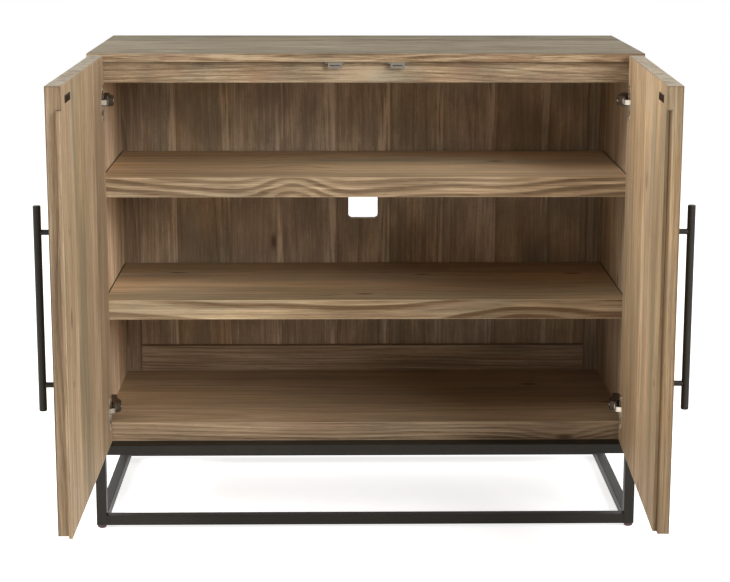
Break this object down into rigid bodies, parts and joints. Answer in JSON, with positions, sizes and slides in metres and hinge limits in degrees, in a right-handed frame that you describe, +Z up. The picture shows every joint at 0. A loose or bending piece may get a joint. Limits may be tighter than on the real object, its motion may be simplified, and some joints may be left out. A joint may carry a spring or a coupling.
{
  "type": "hall cabinet",
  "caption": "Low hall cabinet of weathered wood on a square tube base, with two hinged doors, round bar handles, fixed-height shelves and an open cable hole in the back.",
  "frame": {"origin": "on the floor, under the middle of the top panel's outline (the middle of its width and of its depth)", "axes": "+Z up, +Y towards the back, +X to the right of someone who stands in front of the doors"},
  "size_m": [1.0499, 0.9337, 0.895],
  "materials": {
    "wood": "matte, brushed and weathered",
    "dark_metal": "satin dark bronze powder coat",
    "steel": "satin nickel plate",
    "plastic": "matte dark brown"
  },
  "bodies": {
    "carcass": {"top_panel": "wood", "left_side_panel": "wood", "right_side_panel": "wood", "bottom_panel": "wood", "front_top_rail": "wood", "back_boards": "wood", "left_back_stile": "wood", "right_back_stile": "wood", "top_back_rail": "wood", "bottom_back_rail": "wood", "upper_shelf": "wood", "lower_shelf": "wood", "shelf_supports": "steel", "dowels": "wood", "hinge_plates": "steel", "plate_screws": "steel", "hinge_arms": "steel", "arm_screws": "steel", "arm_pins": "steel", "catch_housings": "plastic", "catch_poles": "steel", "catch_screws": "steel", "front_left_leg": "dark_metal", "front_right_leg": "dark_metal", "back_left_leg": "dark_metal", "back_right_leg": "dark_metal", "front_upper_tube": "dark_metal", "front_lower_tube": "dark_metal", "back_upper_tube": "dark_metal", "back_lower_tube": "dark_metal", "left_upper_tube": "dark_metal", "left_lower_tube": "dark_metal", "right_upper_tube": "dark_metal", "right_lower_tube": "dark_metal", "front_strip": "dark_metal", "back_strip": "dark_metal", "base_screws": "steel", "feet": "plastic"},
    "left_hinge_links": {"left_links": "steel"},
    "left_door": {"left_door_panel": "wood", "left_cups": "steel", "left_cup_pins": "steel", "left_cup_screws": "steel", "left_handle_bar": "dark_metal", "left_handle_posts": "dark_metal", "left_handle_bolts": "steel", "left_bolt_plugs": "wood", "left_strike_plate": "steel", "left_strike_screws": "steel"},
    "right_hinge_links": {"right_links": "steel"},
    "right_door": {"right_door_panel": "wood", "right_cups": "steel", "right_cup_pins": "steel", "right_cup_screws": "steel", "right_handle_bar": "dark_metal", "right_handle_posts": "dark_metal", "right_handle_bolts": "steel", "right_bolt_plugs": "wood", "right_strike_plate": "steel", "right_strike_screws": "steel"}
  },
  "joints": [
    {"name": "left_door_hinge", "type": "hinge", "parent": "left_hinge_links", "child": "left_door", "pos_m": [-0.48404, -0.22474, 0.518], "axis": [0, 0, -1], "range_deg": [-125.1, 6.95]},
    {"name": "left_link_pivot", "type": "hinge", "parent": "carcass", "child": "left_hinge_links", "pos_m": [-0.472, -0.201, 0.518], "axis": [0, 0, -1], "range_deg": [-3, 36]},
    {"name": "right_door_hinge", "type": "hinge", "parent": "right_hinge_links", "child": "right_door", "pos_m": [0.48444, -0.22453, 0.518], "axis": [0, 0, 1], "range_deg": [-121.62, 10.43]},
    {"name": "right_link_pivot", "type": "hinge", "parent": "carcass", "child": "right_hinge_links", "pos_m": [0.472, -0.201, 0.518], "axis": [0, 0, 1], "range_deg": [-3.5, 36]}
  ],
  "couplings": [
    {"joint": "left_link_pivot", "follows": "left_door_hinge", "ratio": -0.28058},
    {"joint": "right_link_pivot", "follows": "right_door_hinge", "ratio": -0.28058}
  ]
}
